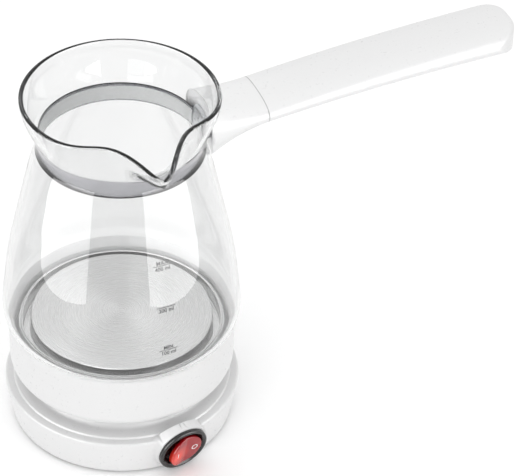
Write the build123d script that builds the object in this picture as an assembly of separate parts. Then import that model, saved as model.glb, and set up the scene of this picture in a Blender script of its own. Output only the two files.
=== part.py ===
from build123d import *
from math import atan2, copysign, cos, degrees, exp, radians, sin, sqrt
import os

# Electric turkish coffee maker, in millimetres. The origin is on the pot's axis where it meets the
# table, +Z is up, the handle points along +X and the spout along -Y.

# ---------------------------------------------------------------- driving dimensions
GAP = 0.3  # running clearance between the base and the pot
FIT = 0.05  # radial clearance of round pieces that are held in one another
SLIP = 0.1  # clearance round pieces that are pushed into a pocket
HEAD_PLAY = 0.2  # clearance round a screw's head
M3_R = 1.5
M3_PLAY = 0.05
SCREW_HEAD_R = 2.8
SCREW_HEAD_H = 1.6
SMALL_HEAD_R = 2.2

# heights
STANDOFF = 1.2  # the feet stand below the base's lower edge by this
BASE_RIM_Z = 19.5  # top of the base's rim
SEAT_Z = BASE_RIM_Z + 8.1  # where the pot stands on the base
COLLAR_H = 28.8
COLLAR_TOP_Z = SEAT_Z + COLLAR_H
GLASS_H = 91.6  # from the collar to the neck
NECK_Z = COLLAR_TOP_Z + GLASS_H
FLARE_Z = NECK_Z + 2.0  # where the flare begins
SPOUT_Z = NECK_Z + 4.4  # where the spout begins
RIM_Z = NECK_Z + 22.9

# glass
GLASS_FOOT_R = 47.9
GLASS_T = 2.0
BELLY_OUT = 3.2  # widest part of the glass beyond its foot
WALL_SHAPE = (  # share of the height from collar to neck, share of the radius from neck to belly
    (0.039, 1.0),
    (0.119, 0.964),
    (0.356, 0.802),
    (0.594, 0.527),
    (0.831, 0.234),
    (0.907, 0.108),
    (0.9585, 0.018),
)
NECK_R = 34.4
RIM_R = NECK_R + 6.7
SPOUT_REACH = 11.7  # spout tip beyond the rim's radius
SPOUT_HALF_ANGLE = 10.9
PINCH_DEPTH = 4.3  # how far the rim is pressed in beside the spout
PINCH_ANGLE = 30.0
PINCH_SPREAD = 17.0
LIP_DIP = 6.5  # spout tip below the rim
LIP_DIP_START = RIM_R - 7.1

# pan and seal
SHELF_T = 2.0
SHELF_Z = SEAT_Z + 15.2  # top of the collar's inner shelf
SEAL_T = 2.0
SEAL_WALL = 1.0
PAN_T = 0.8
PAN_Z = SHELF_Z + 11.0
TROUGH_LIP_Z = SHELF_Z + 9.4
TROUGH_W = 4.2
TROUGH_OUTER_R = GLASS_FOOT_R - GLASS_T - SEAL_WALL
PAN_R = TROUGH_OUTER_R - TROUGH_W
SHELF_R = PAN_R + 0.3
STUD_R = PAN_R - 3.1
PAN_STUD_L = 18.0

# collar
COLLAR_WALL = 2.4
COLLAR_R = GLASS_FOOT_R + GAP + COLLAR_WALL + 0.2
COLLAR_FOOT_R = COLLAR_R - 0.5
COLLAR_ROUND = 5.0

# base
BASE_R = COLLAR_R + 2.2  # rim of the base
BASE_FOOT_R = BASE_R - 3.1  # outside radius at the lower edge
SHELL_WALL = 2.0
STEP_R = BASE_R - 4.4  # shallow step inside the rim
STEP_H = 0.7
PLATEAU_R = COLLAR_FOOT_R - COLLAR_ROUND - 4.3  # raised seat under the pot
COVER_T = 2.0
VENT_SLOT = (22.0, 1.8)
VENT_PITCH = 5.0
FOOT_R = 5.5
FOOT_RING_R = BASE_FOOT_R - 11.9
SCREW_RING_R = BASE_FOOT_R - 14.4
SCREW_BOSS_R = 3.2
BASE_SCREW_LENGTH = 9.0

# switch, turned from the spout's side towards the handle
SWITCH_TURN = 10.0
BEZEL_R = 11.8
BEZEL_T = 2.0
SWITCH_R = BASE_R + 2.3  # bezel's front, from the pot's axis
SWITCH_Z = BEZEL_R + 0.1
SWITCH_TILT = 12.5  # the face looks slightly down
BEZEL_STEP = 1.9  # the bezel laps the barrel by this
BARREL_R = BEZEL_R - BEZEL_STEP
WELL_R = BARREL_R - 0.6
WELL_DEPTH = 4.0
POD_WALL = 0.8
ROCKER_R = WELL_R - 0.9
ROCKER_ANGLE = 10.0  # either side of level
PIVOT_DEPTH = 2.4
PIVOT_PIN_R = 0.95
PIVOT_PLAY = 0.05
BODY_W = 2 * BARREL_R - 2.0
BODY_H = BARREL_R - 0.6
BODY_DROP = 3.5  # the body's middle lies below the barrel's by this
BODY_DEPTH = 16.5
TERMINAL_W = 4.0
TERMINAL_T = 0.8
TERMINAL_OUT = 6.0
TERMINAL_IN = 2.0
TERMINAL_PITCH = 5.6
KEEL_W = 4.0
KEEL_LOW_Y = -7.0
KEEL_HIGH_Y = 0.4
KEEL_SWING = 1.6  # room beside the keel, on each side
LAMP_R = 1.5
LAMP_X = BODY_W / 2 - 2.6
LAMP_L = 6.0

# cordless connector
TOWER_R = 14.6
TOWER_H = 11.0  # above the seat
NEUTRAL_SLOT = (TOWER_R - 3.7, TOWER_R - 1.3)
LIVE_SLOT = (NEUTRAL_SLOT[0] - 4.6, NEUTRAL_SLOT[0] - 1.9)
PIN_HOLE_R = LIVE_SLOT[0] - 2.7
SLOT_FLOOR_H = 1.4  # above the seat
SLOT_MARGIN = 0.6  # the base's contacts are narrower than their slots by this on each side
CONTACT_T = 1.4
CONTACT_PLAY = 0.8  # the pot's contacts hang in the slots with this to spare
TAIL_W = 3.6
TAIL_T = 0.8
TAIL_L = 14.0
FLANGE_T = 2.0
RING_WALL = 1.8
RING_H = 3.4
RING_LIFT = 0.2
CORD_BORE_R = 3.3
GLAND_R = CORD_BORE_R + 1.3
GLAND_Z = 10.5
GLAND_TURN = 100.0  # angle from +X
GLAND_FLANGE = 1.9
LEAD_R = 1.2

# band and clamp
LINER_T = 0.35
BAND_T = 0.6
BAND_R = NECK_R + 0.5 + LINER_T + FIT + BAND_T
BAND_LOW_Z = NECK_Z - 4.6
BAND_HIGH_Z = NECK_Z + 4.4
EAR_LOW_Z = BAND_LOW_Z + 4.4
EAR_Y = 5.9  # middle of each ear, beside the handle's axis
EAR_BEND = 1.6
NUT_HALF = 2.75
NUT_H = 2.4
BRACKET_FACE_R = BAND_R + 3.3
CLAMP_X = BRACKET_FACE_R + 10.3
CLAMP_Z = (EAR_LOW_Z + BAND_HIGH_Z) / 2
CLAMP_HALF = 9.0
EAR_END_X = CLAMP_X + 3.5

# handle
PARTING_X = BRACKET_FACE_R + 23.1  # joint between bracket and grip
GRIP_L = 120.0
HANDLE_END_X = PARTING_X + GRIP_L
PARTING_Z = NECK_Z + 5.6  # centre line at the joint
RISE = 0.144  # slope of the centre line at the joint
ARC_R = 1170.0  # the centre line is an arc, hollow below
GRIP_HALF = 15.4  # half width at the joint
GRIP_END_HALF = 15.8
GRIP_END_ROUND = 13.0
GRIP_END_EDGE = 2.2
UP = 5.2  # crown above the centre line, at the joint
UP_END = 6.6
DOWN = 5.8  # belly below the centre line, at the joint
DOWN_END = 7.8
CROWN_POWER = 2.5  # how square the section is, 2 being an ellipse
BELLY_POWER = 2.2
NECK_POWER = 3.3
BRACKET_HALF = 14.9  # half width at the neck
BRACKET_TOP_R = 87.7  # upper outline, hollow
BRACKET_LOW_R = 38.2  # lower outline, hollow
BRACKET_WALL = 1.7
LUG_STEP = 0.5  # the lug is taller than the band by this, above and below
TANG_W = 11.0
TANG_T = 2.0
TANG_DROP = 1.3
TANG_END_X = PARTING_X + 68.5
TANG_SCREW_XS = (PARTING_X - 4.4, PARTING_X + 18.5, PARTING_X + 56.5)
HEAD_SINK = 2.4  # seat of the handle's screws above the belly

# foot of the pot
UNDER_T = 2.0
CLAMP_RING_T = 1.6
PILLAR_HALF = 3.2
SPREADER_R = STUD_R - 3.6
SPREADER_T = 3.6
SPREADER_BOSS_R = 14.0
SPREADER_BOSS_H = 2.4
ELEMENT_RING_R = SPREADER_R - 8.0
ELEMENT_TUBE_R = 2.9
ELEMENT_CAP_WALL = 0.4  # the end caps stand out round the tube by this
ELEMENT_GAP = 56.0  # angle between the element's ends
ELEMENT_PIN_R = 1.1
LINK_T = 0.8
LINK_W = 4.4
CONTROL_R = 17.5
BIMETAL_R = 12.6
SOCKET_ROOF = 2.6

up = (Align.CENTER, Align.CENTER, Align.MIN)
down = (Align.CENTER, Align.CENTER, Align.MAX)


# ---------------------------------------------------------------- common shapes
def turned(*corners):
    """A solid turned about Z from a closed outline of (radius, height, corner radius)."""
    points = [(corner[0], corner[1]) for corner in corners]
    rounds = [corner[2] if len(corner) > 2 else 0 for corner in corners]
    outline = FilletPolyline(*points, radius=rounds, close=True)
    return revolve(Plane.XZ * make_face(outline), Axis.Z)


def disc(radius, low, high, hole=0.0):
    """A round plate between two heights, with an optional hole."""
    plate = Pos(0, 0, low) * Cylinder(radius, high - low, align=up)
    if hole:
        plate -= Pos(0, 0, low - 1) * Cylinder(hole, high - low + 2, align=up)
    return plate


def around(shape, count, first=0.0):
    """Copies of a shape, evenly spaced about Z."""
    return [Rot(0, 0, first + 360 / count * i) * shape for i in range(count)]


def group(shapes):
    """Separate solids that share one node."""
    return Compound([solid for shape in shapes for solid in shape.solids()])


def cross_screw(length, head=SCREW_HEAD_R, thick=SCREW_HEAD_H):
    """A pan-head screw with its head below z = 0 and its shank pointing up."""
    body = Cylinder(M3_R, length, align=up)
    body += Cylinder(head, thick, align=down)
    for turn in (0, 90):
        body -= Rot(0, 0, turn) * Pos(0, 0, -thick) * Box(head, 0.6, thick)
    return body


# ---------------------------------------------------------------- power base
seat_hole_r = TOWER_R + RING_WALL + 3 * GAP
lower_edge_z = STANDOFF
cover_top_z = lower_edge_z + COVER_T
ceiling_z = BASE_RIM_Z - SHELL_WALL
plateau_under_z = SEAT_Z - SHELL_WALL
cover_edge_r = BASE_FOOT_R - SHELL_WALL - GAP
cover_seat_z = lower_edge_z + COVER_T - 0.8
gland_face_r = BASE_R + 0.4
gland_inner_r = BASE_FOOT_R - SHELL_WALL - 2.4
connector_flange_r = seat_hole_r + 4.6
connector_screw_r = seat_hole_r + 2.3

switch_angle = SWITCH_TURN - 90
switch_out = (
    cos(radians(switch_angle)) * cos(radians(SWITCH_TILT)),
    sin(radians(switch_angle)) * cos(radians(SWITCH_TILT)),
    -sin(radians(SWITCH_TILT)),
)
switch_side = (-sin(radians(switch_angle)), cos(radians(switch_angle)), 0)
switch_plane = Plane(
    origin=(
        SWITCH_R * cos(radians(switch_angle)),
        SWITCH_R * sin(radians(switch_angle)),
        SWITCH_Z,
    ),
    x_dir=switch_side,
    z_dir=switch_out,
)
well_floor = -WELL_DEPTH
barrel_end = well_floor - 1.0


def switch_body_block(play):
    """The part of the switch that passes through the shell."""
    barrel = Pos(0, 0, barrel_end - play) * Cylinder(
        BARREL_R + play, -barrel_end + play, align=up
    )
    block = Pos(0, -BODY_DROP, 0) * Box(
        BODY_W + 2 * play, BODY_H + 2 * play, BODY_DEPTH, align=down
    )
    return barrel + block


def make_base_shell():
    step_z = BASE_RIM_Z + STEP_H
    shell = turned(
        (seat_hole_r, SEAT_Z),
        (PLATEAU_R, SEAT_Z, 1.2),
        (PLATEAU_R + 1.6, step_z + 0.9, 3.0),
        (STEP_R, step_z, 0.4),
        (STEP_R + 0.5, BASE_RIM_Z, 0.1),
        (BASE_R, BASE_RIM_Z, 1.0),
        (BASE_R - 0.5, BASE_RIM_Z - 5.0, 20.0),
        (BASE_FOOT_R, lower_edge_z, 1.0),
        (BASE_FOOT_R - SHELL_WALL, lower_edge_z),
        (BASE_R - 0.5 - SHELL_WALL, BASE_RIM_Z - 5.0, 15.0),
        (BASE_R - SHELL_WALL, ceiling_z, 0.8),
        (PLATEAU_R - 0.2, ceiling_z, 1.0),
        (PLATEAU_R - SHELL_WALL, plateau_under_z, 0.8),
        (seat_hole_r, plateau_under_z),
    )
    # pod that carries the switch, with its roof sloping back to the rim
    pod_r = BEZEL_R + POD_WALL
    pod = switch_plane * (Pos(0, 0, -BEZEL_T) * Cylinder(pod_r, 12, align=down))
    pod_top = SWITCH_Z + pod_r + 1
    room = turned(
        (BASE_R - 3, lower_edge_z),
        (BASE_R - 3, BASE_RIM_Z - 0.2),
        (BASE_R - 1, pod_top),
        (SWITCH_R + pod_r, pod_top),
        (SWITCH_R + pod_r, lower_edge_z),
    )
    inner_face = turned(
        (0, -5),
        (0, ceiling_z),
        (BASE_R - SHELL_WALL, ceiling_z, 0.8),
        (BASE_R - 0.5 - SHELL_WALL, BASE_RIM_Z - 5.0, 15.0),
        (BASE_FOOT_R - SHELL_WALL - 0.5, -5),
    )
    shell += (pod & room) - inner_face
    shell -= switch_plane * switch_body_block(SLIP)
    # flat boss for the cord gland, at the back
    gland_boss = Rot(0, 0, GLAND_TURN) * Pos(0, 0, GLAND_Z) * Rot(0, 90, 0)
    shell += (
        gland_boss
        * Pos(0, 0, gland_inner_r)
        * Cylinder(GLAND_R + 2.4, gland_face_r - gland_inner_r, align=up)
    )
    shell -= gland_boss * Cylinder(GLAND_R, BASE_R + 5, align=up)
    # bosses for the floor plate's screws, and pilot holes for the connector's screws
    boss = Pos(SCREW_RING_R, 0, cover_top_z) * Cylinder(
        SCREW_BOSS_R, plateau_under_z - cover_top_z, align=up
    )
    pilot = Pos(SCREW_RING_R, 0, cover_top_z) * Cylinder(
        M3_R + M3_PLAY, BASE_SCREW_LENGTH, align=up
    )
    for piece in around(boss, 4, 45):
        shell += piece
    for hole in around(pilot, 4, 45):
        shell -= hole
    for hole in around(
        Pos(connector_screw_r, 0, plateau_under_z)
        * Cylinder(M3_R + M3_PLAY, 1.4, align=up),
        3,
        30,
    ):
        shell -= hole
    return shell


def foot_places(shape):
    """Copies of a shape at the five pads: one in the middle and four round it."""
    return [shape, *around(Pos(FOOT_RING_R, 0, 0) * shape, 4)]


def make_base_cover():
    plate = disc(cover_edge_r, lower_edge_z, cover_top_z)
    recess = Pos(0, 0, lower_edge_z) * Cylinder(FOOT_R + SLIP, COVER_T / 2, align=up)
    for cut in foot_places(recess):
        plate -= cut
    head = Pos(SCREW_RING_R, 0, lower_edge_z) * Cylinder(
        SCREW_HEAD_R + HEAD_PLAY, cover_seat_z - lower_edge_z, align=up
    )
    hole = Pos(SCREW_RING_R, 0, lower_edge_z) * Cylinder(
        M3_R + M3_PLAY, COVER_T, align=up
    )
    for cut in around(head, 4, 45) + around(hole, 4, 45):
        plate -= cut
    # vent slots under the connector, either side of the middle pad
    for i in (-4, -3, -2, 2, 3, 4):
        slot = Box(*VENT_SLOT, COVER_T * 2)
        plate -= Pos(0, i * VENT_PITCH, lower_edge_z + COVER_T / 2) * slot
    return plate


def make_base_feet():
    pad = Cylinder(FOOT_R, STANDOFF + COVER_T / 2, align=up)
    pad = fillet(pad.edges().sort_by(Axis.Z)[0], 0.6)
    return group(foot_places(pad))


def make_base_screws():
    screw = Pos(SCREW_RING_R, 0, cover_seat_z) * cross_screw(
        BASE_SCREW_LENGTH, thick=cover_seat_z - lower_edge_z
    )
    return group(around(screw, 4, 45))


# ---------------------------------------------------------------- rocker switch
terminal_xs = (-TERMINAL_PITCH, 0.0, TERMINAL_PITCH)
keel_mid = (KEEL_LOW_Y + KEEL_HIGH_Y) / 2
keel_len = KEEL_HIGH_Y - KEEL_LOW_Y


def terminal_blades():
    blade = Box(TERMINAL_W, TERMINAL_T, TERMINAL_OUT + TERMINAL_IN, align=down)
    start = Pos(0, -BODY_DROP, -BODY_DEPTH + TERMINAL_IN)
    return [Pos(x, 0, 0) * start * blade for x in terminal_xs]


def make_switch_housing():
    bezel = turned(
        (0, well_floor),
        (WELL_R, well_floor),
        (WELL_R, -1.1),
        (WELL_R + 1.3, 0, 0.1),
        (BEZEL_R, 0, 0.8),
        (BEZEL_R, -BEZEL_T),
        (BARREL_R, -BEZEL_T),
        (BARREL_R, barrel_end),
        (0, barrel_end),
    )
    block = Pos(0, -BODY_DROP, barrel_end) * Box(
        BODY_W, BODY_H, BODY_DEPTH + barrel_end, align=down
    )
    body = bezel + block
    # slot for the rocker's keel, pocket for the lamp, holes for the pivot pins
    body -= Pos(0, keel_mid, well_floor + 0.1) * Box(
        KEEL_W + 2 * KEEL_SWING, keel_len + 0.8, 5.6, align=down
    )
    body -= Pos(LAMP_X, -BODY_DROP, well_floor + 0.1) * Box(
        2 * LAMP_R + 0.4, LAMP_L + 0.4, 2 * LAMP_R + 0.9, align=down
    )
    body -= (
        Pos(0, 0, -PIVOT_DEPTH)
        * Rot(90, 0, 0)
        * Cylinder(PIVOT_PIN_R + PIVOT_PLAY, 2 * BARREL_R + 1)
    )
    for blade in terminal_blades():
        body -= blade
    return switch_plane * body


def make_switch_terminals():
    return group([switch_plane * blade for blade in terminal_blades()])


def make_switch_lamp():
    lamp = Pos(LAMP_X, -BODY_DROP, well_floor - LAMP_R - 0.6) * (
        Rot(90, 0, 0) * Cylinder(LAMP_R, LAMP_L)
    )
    return switch_plane * lamp


def make_switch_rocker():
    """Two flat halves meeting in a shallow valley, on a pivot bar with a keel below."""
    valley, ends, back = 0.3, 1.7, -0.9
    outline = Polyline(
        (-ROCKER_R, back),
        (-ROCKER_R, ends),
        (0, valley),
        (ROCKER_R, ends),
        (ROCKER_R, back),
        close=True,
    )
    slab = extrude(Plane.XZ * make_face(outline), ROCKER_R + 1, both=True)
    plate = slab & Cylinder(ROCKER_R, 12)
    rim = plate.edges().filter_by(lambda edge: edge.center().Z > valley + 0.1)
    plate = fillet(rim, 0.5)
    bar = Pos(0, 0, -PIVOT_DEPTH) * (Rot(90, 0, 0) * Cylinder(1.3, 2 * ROCKER_R - 1))
    web = Box(2.6, 2 * ROCKER_R - 1, PIVOT_DEPTH + back, align=down)
    pins = Pos(0, 0, -PIVOT_DEPTH) * (
        Rot(90, 0, 0) * Cylinder(PIVOT_PIN_R, 2 * BARREL_R - 0.2)
    )
    keel = Pos(0, keel_mid, back) * Box(KEEL_W - 1, keel_len - 0.4, 5.0, align=down)
    rocker = plate + bar + Pos(0, 0, back) * web + pins + keel
    to_pivot = Pos(0, 0, -PIVOT_DEPTH)
    tipped = to_pivot * Rot(0, ROCKER_ANGLE, 0) * Pos(0, 0, PIVOT_DEPTH) * rocker
    return switch_plane * tipped


# ---------------------------------------------------------------- lower connector
tower_top_z = SEAT_Z + TOWER_H
slot_floor_z = SEAT_Z + SLOT_FLOOR_H
tail_r = {"pin": 0.0, "live": sum(LIVE_SLOT) / 2, "neutral": sum(NEUTRAL_SLOT) / 2}
tail_turn = {"pin": 0.0, "live": 120.0, "neutral": 240.0}
flange_low_z = plateau_under_z - FLANGE_T
connector_low_z = flange_low_z - 2.0
ring_bore_r = TOWER_R + GAP
ring_low_z = SEAT_Z + RING_LIFT


def contact_tails():
    tails = []
    for name, radius in tail_r.items():
        blade = Box(TAIL_T, TAIL_W, TAIL_L, align=down)
        tails.append(Rot(0, 0, tail_turn[name]) * Pos(radius, 0, slot_floor_z) * blade)
    return tails


def make_connector_base():
    body = turned(
        (0, connector_low_z),
        (seat_hole_r, connector_low_z, 0.6),
        (seat_hole_r, flange_low_z),
        (connector_flange_r, flange_low_z, 0.4),
        (connector_flange_r, plateau_under_z),
        (seat_hole_r - SLIP, plateau_under_z),
        (seat_hole_r - SLIP, SEAT_Z),
        (TOWER_R, SEAT_Z),
        (TOWER_R, tower_top_z, 1.0),
        (NEUTRAL_SLOT[1], tower_top_z),
        (NEUTRAL_SLOT[1], slot_floor_z),
        (NEUTRAL_SLOT[0], slot_floor_z),
        (NEUTRAL_SLOT[0], tower_top_z),
        (LIVE_SLOT[1], tower_top_z),
        (LIVE_SLOT[1], slot_floor_z),
        (LIVE_SLOT[0], slot_floor_z),
        (LIVE_SLOT[0], tower_top_z),
        (PIN_HOLE_R, tower_top_z, 0.6),
        (PIN_HOLE_R, slot_floor_z),
        (0, slot_floor_z),
    )
    for tail in contact_tails():
        body -= tail
    hole = Pos(connector_screw_r, 0, flange_low_z - 1) * Cylinder(
        M3_R + M3_PLAY, FLANGE_T + 2, align=up
    )
    for cut in around(hole, 3, 30):
        body -= cut
    return body


def make_connector_contacts():
    top = slot_floor_z + CONTACT_T
    contacts = [disc(PIN_HOLE_R - SLOT_MARGIN, slot_floor_z, top)]
    for inner, outer in (LIVE_SLOT, NEUTRAL_SLOT):
        contacts.append(disc(outer - SLOT_MARGIN, slot_floor_z, top, inner + SLOT_MARGIN))
    return group([tail + head for tail, head in zip(contact_tails(), contacts)])


def make_connector_screws():
    screw = Pos(connector_screw_r, 0, flange_low_z) * cross_screw(3.2, SMALL_HEAD_R)
    return group(around(screw, 3, 30))


def make_connector_ring():
    """Loose collar round the foot of the tower, which turns with the pot."""
    return turned(
        (ring_bore_r, ring_low_z),
        (ring_bore_r + RING_WALL, ring_low_z),
        (ring_bore_r + RING_WALL, ring_low_z + RING_H, 0.5),
        (ring_bore_r, ring_low_z + RING_H, 0.3),
    )


def make_cord_gland():
    flange_r = GLAND_R + GLAND_FLANGE
    gland = turned(
        (CORD_BORE_R, gland_inner_r - 2.0),
        (flange_r - 0.6, gland_inner_r - 2.0, 0.5),
        (flange_r - 0.6, gland_inner_r),
        (GLAND_R - FIT, gland_inner_r),
        (GLAND_R - FIT, gland_face_r),
        (flange_r, gland_face_r),
        (flange_r - 0.8, gland_face_r + 2.6, 1.0),
        (CORD_BORE_R, gland_face_r + 2.6, 0.5),
    )
    return Rot(0, 0, GLAND_TURN) * Pos(0, 0, GLAND_Z) * Rot(0, 90, 0) * gland


# ---------------------------------------------------------------- foot of the pot
collar_bottom_r = COLLAR_FOOT_R - COLLAR_ROUND
collar_inner_r = GLASS_FOOT_R + GAP
cover_r = collar_bottom_r - 0.4 - GAP
socket_r = seat_hole_r + 1.4
under_top_z = SEAT_Z + UNDER_T
pan_under_z = PAN_Z - PAN_T
trough_low_z = SHELF_Z + SEAL_T
clamp_ring_z = SHELF_Z - SHELF_T - CLAMP_RING_T
spreader_low_z = pan_under_z - SPREADER_T
element_z = spreader_low_z - ELEMENT_TUBE_R
element_low_z = element_z - ELEMENT_TUBE_R
element_end_turns = (ELEMENT_GAP / 2, 360 - ELEMENT_GAP / 2)
socket_low_z = tower_top_z + 0.8  # underside of the socket's roof
socket_top_z = socket_low_z + SOCKET_ROOF
control_top_z = spreader_low_z - SPREADER_BOSS_H - HEAD_PLAY
link_z = socket_top_z + 0.6


def make_bottom_collar():
    lip_inner = COLLAR_R - 0.5
    return turned(
        (collar_bottom_r - 0.4, SEAT_Z),
        (COLLAR_FOOT_R, SEAT_Z, COLLAR_ROUND),
        (COLLAR_R, COLLAR_TOP_Z, 0.2),
        (lip_inner, COLLAR_TOP_Z, 0.1),
        (collar_inner_r, COLLAR_TOP_Z - 4.2, 1.0),
        (collar_inner_r, SHELF_Z),
        (SHELF_R, SHELF_Z),
        (SHELF_R, SHELF_Z - SHELF_T),
        (collar_inner_r, SHELF_Z - SHELF_T),
        (collar_inner_r, SEAT_Z + COLLAR_ROUND, COLLAR_ROUND - COLLAR_WALL),
        (collar_bottom_r - 0.4, SEAT_Z + COLLAR_WALL),
    )


def make_steel_pan():
    trough_inner_r = PAN_R - PAN_T
    return turned(
        (0, pan_under_z),
        (trough_inner_r, pan_under_z, 0.4),
        (trough_inner_r, trough_low_z, 0.8),
        (TROUGH_OUTER_R, trough_low_z, 0.8),
        (TROUGH_OUTER_R, TROUGH_LIP_Z, 0.3),
        (TROUGH_OUTER_R - PAN_T, TROUGH_LIP_Z, 0.3),
        (TROUGH_OUTER_R - PAN_T, trough_low_z + PAN_T, 0.4),
        (PAN_R, trough_low_z + PAN_T, 0.4),
        (PAN_R, PAN_Z, 1.1),
        (0, PAN_Z),
    )


def make_pan_studs():
    stud = Pos(STUD_R, 0, pan_under_z) * Cylinder(M3_R, PAN_STUD_L, align=down)
    return group(around(stud, 3, 60))


def make_pan_seal():
    return turned(
        (SHELF_R + 0.4, SHELF_Z),
        (GLASS_FOOT_R, SHELF_Z),
        (GLASS_FOOT_R, trough_low_z),
        (GLASS_FOOT_R - GLASS_T - FIT, trough_low_z),
        (GLASS_FOOT_R - GLASS_T - FIT, TROUGH_LIP_Z - 0.6, 0.3),
        (TROUGH_OUTER_R + FIT, TROUGH_LIP_Z - 0.6),
        (TROUGH_OUTER_R + FIT, trough_low_z),
        (SHELF_R + 0.4, trough_low_z),
    )


def make_clamp_ring():
    ring = disc(SHELF_R + 5.0, clamp_ring_z, clamp_ring_z + CLAMP_RING_T, STUD_R - 2.6)
    for hole in around(
        Pos(STUD_R, 0, clamp_ring_z - 1) * Cylinder(M3_R + M3_PLAY, 4, align=up), 3, 60
    ):
        ring -= hole
    return ring


def make_clamp_pillars():
    pillar = Pos(STUD_R, 0, under_top_z) * extrude(
        RegularPolygon(PILLAR_HALF, 6, major_radius=False), clamp_ring_z - under_top_z
    )
    pillar -= Pos(STUD_R, 0, under_top_z) * Cylinder(
        M3_R + M3_PLAY, clamp_ring_z - under_top_z, align=up
    )
    return group(around(pillar, 3, 60))


def make_heat_spreader():
    return turned(
        (0, spreader_low_z - SPREADER_BOSS_H),
        (SPREADER_BOSS_R - 0.5, spreader_low_z - SPREADER_BOSS_H, 0.4),
        (SPREADER_BOSS_R, spreader_low_z, 0.2),
        (SPREADER_R, spreader_low_z, 0.6),
        (SPREADER_R, pan_under_z),
        (0, pan_under_z),
    )


def make_heating_element():
    tube = Plane.XZ * Pos(ELEMENT_RING_R, element_z) * Circle(ELEMENT_TUBE_R)
    ring = Rot(0, 0, ELEMENT_GAP / 2) * revolve(tube, Axis.Z, 360 - ELEMENT_GAP)
    # each end is closed by an upright cap that the pin comes out of
    cap = Pos(ELEMENT_RING_R, 0, element_low_z) * Cylinder(
        ELEMENT_TUBE_R + ELEMENT_CAP_WALL, spreader_low_z - GAP - element_low_z, align=up
    )
    for turn in element_end_turns:
        ring += Rot(0, 0, turn) * cap
    return ring


def make_element_pins():
    length = element_low_z - socket_top_z
    pin = Pos(ELEMENT_RING_R, 0, element_low_z) * Cylinder(
        ELEMENT_PIN_R, length, align=down
    )
    return group([Rot(0, 0, turn) * pin for turn in element_end_turns])


def link_strips():
    inner = CONTROL_R - 3.0
    strip = Pos(inner, 0, link_z) * Box(
        ELEMENT_RING_R + 2.4 - inner,
        LINK_W,
        LINK_T,
        align=(Align.MIN, Align.CENTER, Align.MIN),
    )
    strip -= Pos(ELEMENT_RING_R, 0, link_z - 1) * Cylinder(
        ELEMENT_PIN_R + M3_PLAY, 4, align=up
    )
    return [Rot(0, 0, turn) * strip for turn in element_end_turns]


def make_element_links():
    return group(link_strips())


def make_thermal_control():
    body = turned(
        (0, socket_top_z),
        (CONTROL_R, socket_top_z),
        (CONTROL_R, control_top_z, 0.8),
        (BIMETAL_R + 0.6, control_top_z),
        (BIMETAL_R + 0.6, control_top_z - 0.9),
        (0, control_top_z - 0.9),
    )
    for strip in link_strips():
        body -= strip
    return body


def make_bimetal_disc():
    low = control_top_z - 0.7
    return turned((0, low + 0.3), (0, low + 0.7), (BIMETAL_R, low + 0.4), (BIMETAL_R, low))


def make_pot_socket():
    mouth_r = seat_hole_r - SLIP
    bore_r = TOWER_R + 0.4
    mouth_top = ring_low_z + RING_H + 0.4
    body = turned(
        (mouth_r, SEAT_Z),
        (socket_r, SEAT_Z),
        (socket_r, under_top_z),
        (socket_r + 3.4, under_top_z),
        (socket_r + 3.4, under_top_z + 2.0, 0.4),
        (socket_r, under_top_z + 2.0, 0.6),
        (socket_r, socket_top_z, 0.8),
        (0, socket_top_z),
        (0, socket_low_z),
        (bore_r, socket_low_z, 0.8),
        (bore_r, mouth_top),
        (mouth_r, mouth_top),
    )
    for contact in socket_contact_shapes(FIT):
        body -= contact
    return body


def socket_contact_shapes(grow=0.0):
    """Centre pin and two rings, hanging in the tower's slots and held in the socket's roof."""
    low = slot_floor_z + CONTACT_T + 0.6
    high = socket_top_z - 0.8
    play = CONTACT_PLAY - grow
    shapes = [disc(PIN_HOLE_R - play, low, high)]
    for inner, outer in (LIVE_SLOT, NEUTRAL_SLOT):
        shapes.append(disc(outer - play, low, high, inner + play))
    return shapes


def make_socket_contacts():
    return group(socket_contact_shapes())


def make_underside_cover():
    plate = disc(cover_r, SEAT_Z, under_top_z, socket_r + HEAD_PLAY)
    for hole in around(
        Pos(STUD_R, 0, SEAT_Z - 1) * Cylinder(M3_R + M3_PLAY, 4, align=up), 3, 60
    ) + around(
        Pos(STUD_R, 0, SEAT_Z) * Cylinder(SCREW_HEAD_R + HEAD_PLAY, UNDER_T - 0.6, align=up),
        3,
        60,
    ):
        plate -= hole
    return plate


def make_cover_screws():
    screw = Pos(STUD_R, 0, under_top_z - 0.6) * cross_screw(4.0, thick=UNDER_T - 0.6)
    return group(around(screw, 3, 60))


# ---------------------------------------------------------------- glass
def flare_radius(z):
    """Outside radius of the plain neck and flare, by height."""
    share = max(0.0, (z - FLARE_Z) / (RIM_Z - FLARE_Z))
    return NECK_R + (RIM_R - NECK_R) * sin(radians(90 * min(1.0, share**1.25)))


def spout_growth(z):
    share = max(0.0, min(1.0, (z - SPOUT_Z) / (RIM_Z - LIP_DIP - SPOUT_Z)))
    return share * share * (3 - 2 * share)


def lip_shape(turn):
    """How far the rim stands out (+) or in (-) at an angle from the spout."""
    off = abs((turn + 180) % 360 - 180)
    beak = SPOUT_REACH * exp(-((off / SPOUT_HALF_ANGLE) ** 1.5))
    pinch = PINCH_DEPTH * exp(-(((off - PINCH_ANGLE) / PINCH_SPREAD) ** 2))
    return beak - pinch


def lip_section(z, inset):
    """Closed outline of the glass at one height, as a face."""
    half = (4, 8, 12, 17, 23, 30, 38, 48, 60, 75, 95, 120, 150)
    turns = [0, *half, 180, *(360 - turn for turn in reversed(half))]
    points = []
    for turn in turns:
        radius = flare_radius(z) + lip_shape(turn) * spout_growth(z) - inset
        points.append((radius * sin(radians(turn)), -radius * cos(radians(turn))))
    return Pos(0, 0, z) * make_face(Spline(*points, periodic=True))


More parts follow.
